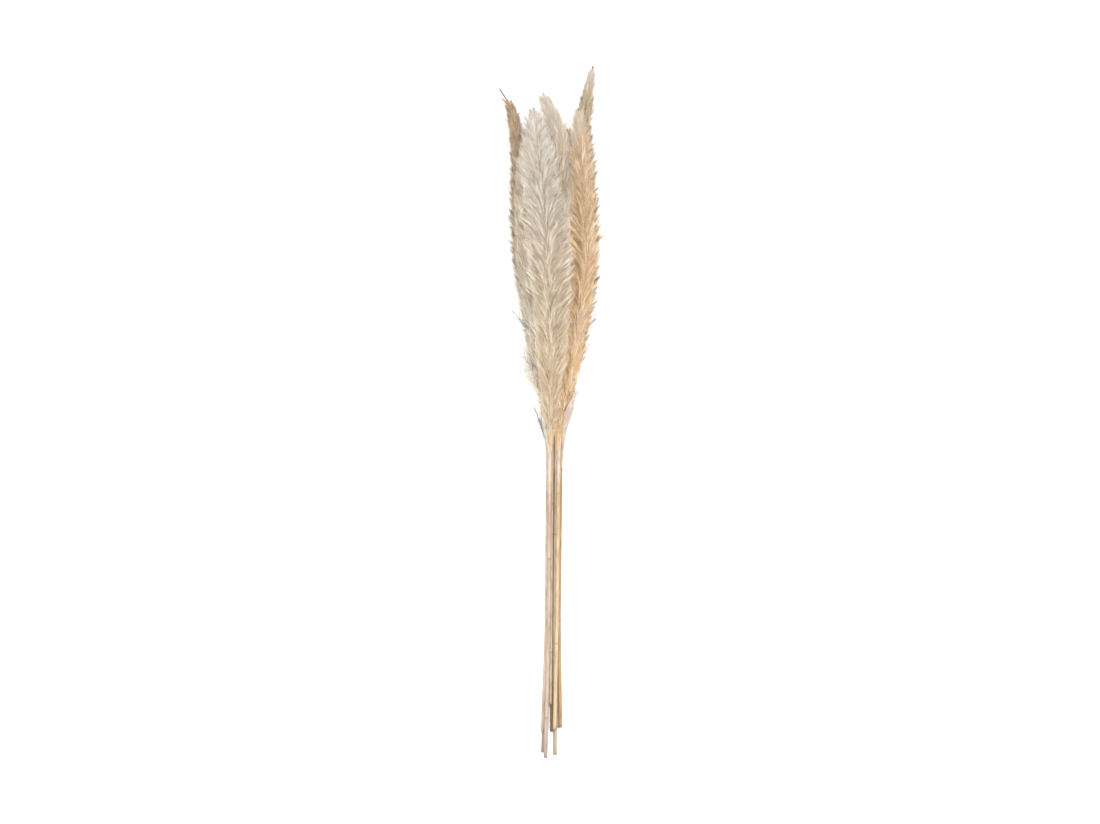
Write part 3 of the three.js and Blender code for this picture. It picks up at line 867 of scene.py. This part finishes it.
def sheath_shape(stalk, low, high):
    """A dry sheath that hugs a stem, and gets a little wider towards the plume."""
    places = np.linspace(low, high, 24)
    radii = np.interp(places, [low, low + SHEATH_FOOT, high], SHEATH_RADII)
    return tube(along_line(stalk, places), radii, radii, 14)


def blade_shape(points):
    """A dry leaf that stands off: a thin pointed blade along a line through the points, which a
    moving average makes smooth."""
    points = np.array(points, float)
    y = np.linspace(points[0, 1], points[-1, 1], 36)

    def smoothed(column):
        straight = np.interp(y, points[:, 1], points[:, column])
        longer = np.pad(straight, BLADE_AVERAGED // 2, "reflect", reflect_type="odd")
        return np.convolve(longer, np.ones(BLADE_AVERAGED) / BLADE_AVERAGED, "valid")

    x, z, width = [smoothed(column) for column in (0, 2, 3)]
    return tube(columns(x, y, z), width, BLADE_THIN + BLADE_THICKER * width, 16)


def colour_of(code):
    """A colour written in sRGB, as the linear values that a shader takes."""
    parts = [int(code[i:i + 2], 16) / 255 for i in (1, 3, 5)]
    linear = [c / 12.92 if c <= 0.04045 else ((c + 0.055) / 1.055) ** 2.4 for c in parts]
    return (*linear, 1.0)


class Shade:
    """An output socket in a material's node tree. Arithmetic on it adds Math nodes."""

    def __init__(self, tree, socket=None):
        self.tree = tree
        self.socket = socket

    def node(self, kind, inputs=None, output=0, **settings):
        """Adds a node: its settings first, then its sockets, each a value, the code of a colour or
        a link. Returns one of its outputs, or nothing for a node without any."""
        made = self.tree.nodes.new("ShaderNode" + kind)
        for name, value in settings.items():
            setattr(made, name, value)
        for key, value in (inputs or {}).items():
            if isinstance(value, Shade):
                self.tree.links.new(value.socket, made.inputs[key])
            else:
                plain = colour_of(value) if isinstance(value, str) else value
                made.inputs[key].default_value = plain
        return Shade(self.tree, made.outputs[output]) if made.outputs else None

    def maths(self, operation, *values):
        return self.node("Math", dict(enumerate(values)), operation=operation)

    def __add__(self, value):
        return self.maths("ADD", self, value)

    __radd__ = __add__

    def __sub__(self, value):
        return self.maths("SUBTRACT", self, value)

    def __rsub__(self, value):
        return self.maths("SUBTRACT", value, self)

    def __mul__(self, value):
        return self.maths("MULTIPLY", self, value)

    __rmul__ = __mul__

    def __truediv__(self, value):
        return self.maths("DIVIDE", self, value)

    def between(self, low, high):
        """Rises smoothly from 0 at low to 1 at high."""
        inputs = {"Value": self, "From Min": low, "From Max": high}
        return self.node("MapRange", inputs, interpolation_type="SMOOTHSTEP")

    def blend(self, low, high, how="MIX"):
        """The colour low where this is 0 and high, or its mixture with low, where it is 1."""
        return self.node("Mix", {0: self, 6: low, 7: high}, 2, data_type="RGBA", blend_type=how)

    def noise(self, scale, detail, roughness=0.5, dimensions="3D"):
        """Random patches over this place."""
        inputs = {"Vector": self, "Scale": scale, "Detail": detail, "Roughness": roughness}
        return self.node("TexNoise", inputs, noise_dimensions=dimensions)


def new_material(name):
    """An empty node material, and a start for its nodes."""
    material = bpy.data.materials.new(name)
    material.use_nodes = True
    material.node_tree.nodes.clear()
    return material, Shade(material.node_tree)


def plume_finish(name, codes, seed):
    """Hairs, coloured by their own map: u runs from the base of the plume to its tip and v from
    the edge and the shaded roots to the bright ends. A noise over the map sets some hairs apart,
    and a slow one makes golden and rosy patches. Some tips are paler, and the hairs let light
    through."""
    material, start = new_material("hair_" + name)
    place = start.node("UVMap", uv_map=OWN_MAP)
    along = start.node("SeparateXYZ", {0: place})
    ends = Shade(start.tree, along.socket.node.outputs["Y"])
    bright = ends + 0.22 * (place.noise(23.0 + seed, 3.0, 0.6) - 0.5)
    up = along.between(0.05, 0.95)
    edge, shaded, body, light = [up.blend(*pair) for pair in zip(codes[::2], codes[1::2])]
    colour = ends.between(0.12, 0.22).blend(edge, shaded)
    colour = bright.between(0.25, 0.5).blend(colour, body)
    colour = bright.between(0.55, 0.95).blend(colour, light)
    patches = place.noise(15.0 + seed, 1.0, dimensions="2D")
    golden = GOLDEN.get(name, SOME_GOLD) * patches.between(0.46, 0.6) * mixed(1, 0.5, up)
    golden = golden * (1 - ends.between(0.75, 0.95))
    colour = golden.blend(colour, GOLD, "MULTIPLY")
    rosy = 0.5 * (1 - patches.between(0.3, 0.44))
    colour = rosy.blend(colour, ROSE)
    pale = PALE_TIPS.get(name, 0) * along.between(0.88, 0.96)
    colour = pale.blend(colour, PALE_TIP)
    surface = start.node("BsdfPrincipled", {
        "Base Color": colour, "Roughness": 0.62, "Specular IOR Level": 0.35,
        "Sheen Weight": 0.25, "Sheen Roughness": 0.4,
    })
    through = start.node("BsdfTranslucent", {"Color": codes[-1]})
    both = start.node("MixShader", {0: THROUGH_HAIRS, 1: surface, 2: through})
    start.node("OutputMaterial", {"Surface": both})
    return material


def stem_finish(name, plain, streaked, top, joints, seed):
    """A dry stem: streaks from noise drawn out along it, slow patches, the colour of the top inside
    the plume, a worn lowest end, a brown line under each joint, and a pith on the cut end."""
    material, start = new_material(name)
    place = start.node("TexCoord", output="Object")
    along = start.node("SeparateXYZ", {0: place}, "Y")
    stretched = start.node("Mapping", {
        "Vector": place, "Scale": (1500.0, 9.0, 1500.0), "Location": (seed, seed, 0.0),
    })
    streaks = stretched.noise(1.0, 3.0, 0.55)
    patches = place.noise(26.0 + seed, 2.0)
    share = 0.75 * streaks.between(0.38, 0.68) + 0.45 * patches.between(0.4, 0.75)
    share = share.maths("MINIMUM", share, 1.0)
    colour = share.blend(plain, streaked)
    colour = along.between(0.2, 0.3).blend(colour, top)
    worn = 0.5 * (1 - along.between(-0.395, -0.35))
    colour = worn.blend(colour, WORN_END)
    around_and_up = start.node("UVMap", uv_map=OWN_MAP)
    up = start.node("SeparateXYZ", {0: around_and_up}, "Y")
    for joint in joints:
        off = (along - (joint - 1.6) * MILLIMETRE) / (1.3 * MILLIMETRE)
        line = start.maths("EXPONENT", -1.0 * (off * off))
        colour = (0.4 * line).blend(colour, JOINT_LINE)
    wall = up.between(0.7 * CAP_SHARE, 0.8 * CAP_SHARE)
    colour = wall.blend(PITH, colour)
    roughness = 0.42 + 0.25 * streaks
    bump = start.node("Bump", {"Height": streaks, "Strength": 0.35, "Distance": 0.0003})
    surface = start.node("BsdfPrincipled", {
        "Base Color": colour, "Roughness": roughness, "Specular IOR Level": 0.4, "Normal": bump,
    })
    start.node("OutputMaterial", {"Surface": surface})
    return material


def floor_finish():
    """A plain pale floor, a little uneven in tone."""
    material, start = new_material("pale_floor")
    noise = start.node("TexCoord", output="Object").noise(2.0, 2.0)
    surface = start.node("BsdfPrincipled", {
        "Base Color": noise.blend(*FLOOR_COLOURS), "Roughness": 0.9, "Specular IOR Level": 0.1,
    })
    start.node("OutputMaterial", {"Surface": surface})
    return material


def set_up_camera():
    """Straight above the bundle, with a long lens."""
    data = bpy.data.cameras.new("camera")
    data.sensor_width = FILM_WIDTH
    data.lens = FILM_WIDTH * CAMERA_AWAY / VIEW_WIDTH
    camera = bpy.data.objects.new("camera", data)
    camera.location = (0.0, 0.0, CAMERA_AWAY + VIEW_LEVEL)
    bpy.context.scene.collection.objects.link(camera)
    bpy.context.scene.camera = camera


def set_up_light(name, place, size, power, colour):
    """A square lamp that faces the plumes."""
    data = bpy.data.lights.new(name, "AREA")
    data.size = size
    data.energy = power
    data.color = colour
    lamp = bpy.data.objects.new(name, data)
    lamp.location = place
    to = np.array(LAMPS_FACE) - np.array(place)
    flat = math.hypot(to[0], to[1])
    lamp.rotation_euler = (math.atan2(flat, -to[2]), 0.0, math.atan2(-to[0], to[1]))
    bpy.context.scene.collection.objects.link(lamp)


def set_up_room():
    """A pale floor just below the bundle, an even pale surrounding and two soft lamps."""
    mesh = bpy.data.meshes.new("floor")
    corners = [(FLOOR_HALF * x, FLOOR_HALF * y, 0) for x, y in ((-1, -1), (1, -1), (1, 1), (-1, 1))]
    mesh.from_pydata(corners, [], [(0, 1, 2, 3)])
    mesh.materials.append(floor_finish())
    floor = bpy.data.objects.new("floor", mesh)
    bpy.context.scene.collection.objects.link(floor)
    world = bpy.data.worlds.new("surrounding")
    world.use_nodes = True
    sky = world.node_tree.nodes["Background"]
    sky.inputs["Color"].default_value = (1.0, 1.0, 1.0, 1.0)
    sky.inputs["Strength"].default_value = SURROUNDING_STRENGTH
    bpy.context.scene.world = world
    for name, lamp in LAMPS.items():
        set_up_light(name, *lamp)
    bpy.context.scene.view_settings.view_transform = "Standard"


def new_dry_piece(kind, stalk, shape, node, colours, seed, joints=(), top=None):
    """A smooth piece of a stalk with the finish of a dry stem, named for its kind. colours are its
    own and that of its streaks, and top the colour high up, if it isn't that of the streaks."""
    name = kind + "_" + stalk["name"]
    finish = stem_finish(name, *colours, top or colours[1], joints, seed)
    new_piece(name, shape, finish, node + "_" + stalk["name"], True)


set_up_camera()
set_up_room()
table_rooms()
for seed, stalk in enumerate(STALKS, 1):
    name = stalk["name"]
    *stem_colours, joints = STEM_COLOURS[name]
    codes = HAIR_COLOURS[name].split()
    new_dry_piece("culm", stalk, culm_shape(stalk, joints), "stem", stem_colours, seed, joints)
    new_dry_piece("rachis", stalk, rachis_shape(stalk), "plume", stem_colours, seed, top=codes[1])
    new_piece(
        "hairs_" + name, plume_shape(stalk, seed), plume_finish(name, codes, seed),
        "plume_" + name, False,
    )
    if name in SHEATHS:
        shape = sheath_shape(stalk, *SHEATHS[name])
        new_dry_piece("sheath", stalk, shape, "stem", SHEATH_COLOURS, seed)
    if name in BLADES:
        shape = blade_shape(BLADES[name])
        new_dry_piece("blade", stalk, shape, "stem", BLADE_COLOURS[name], seed)
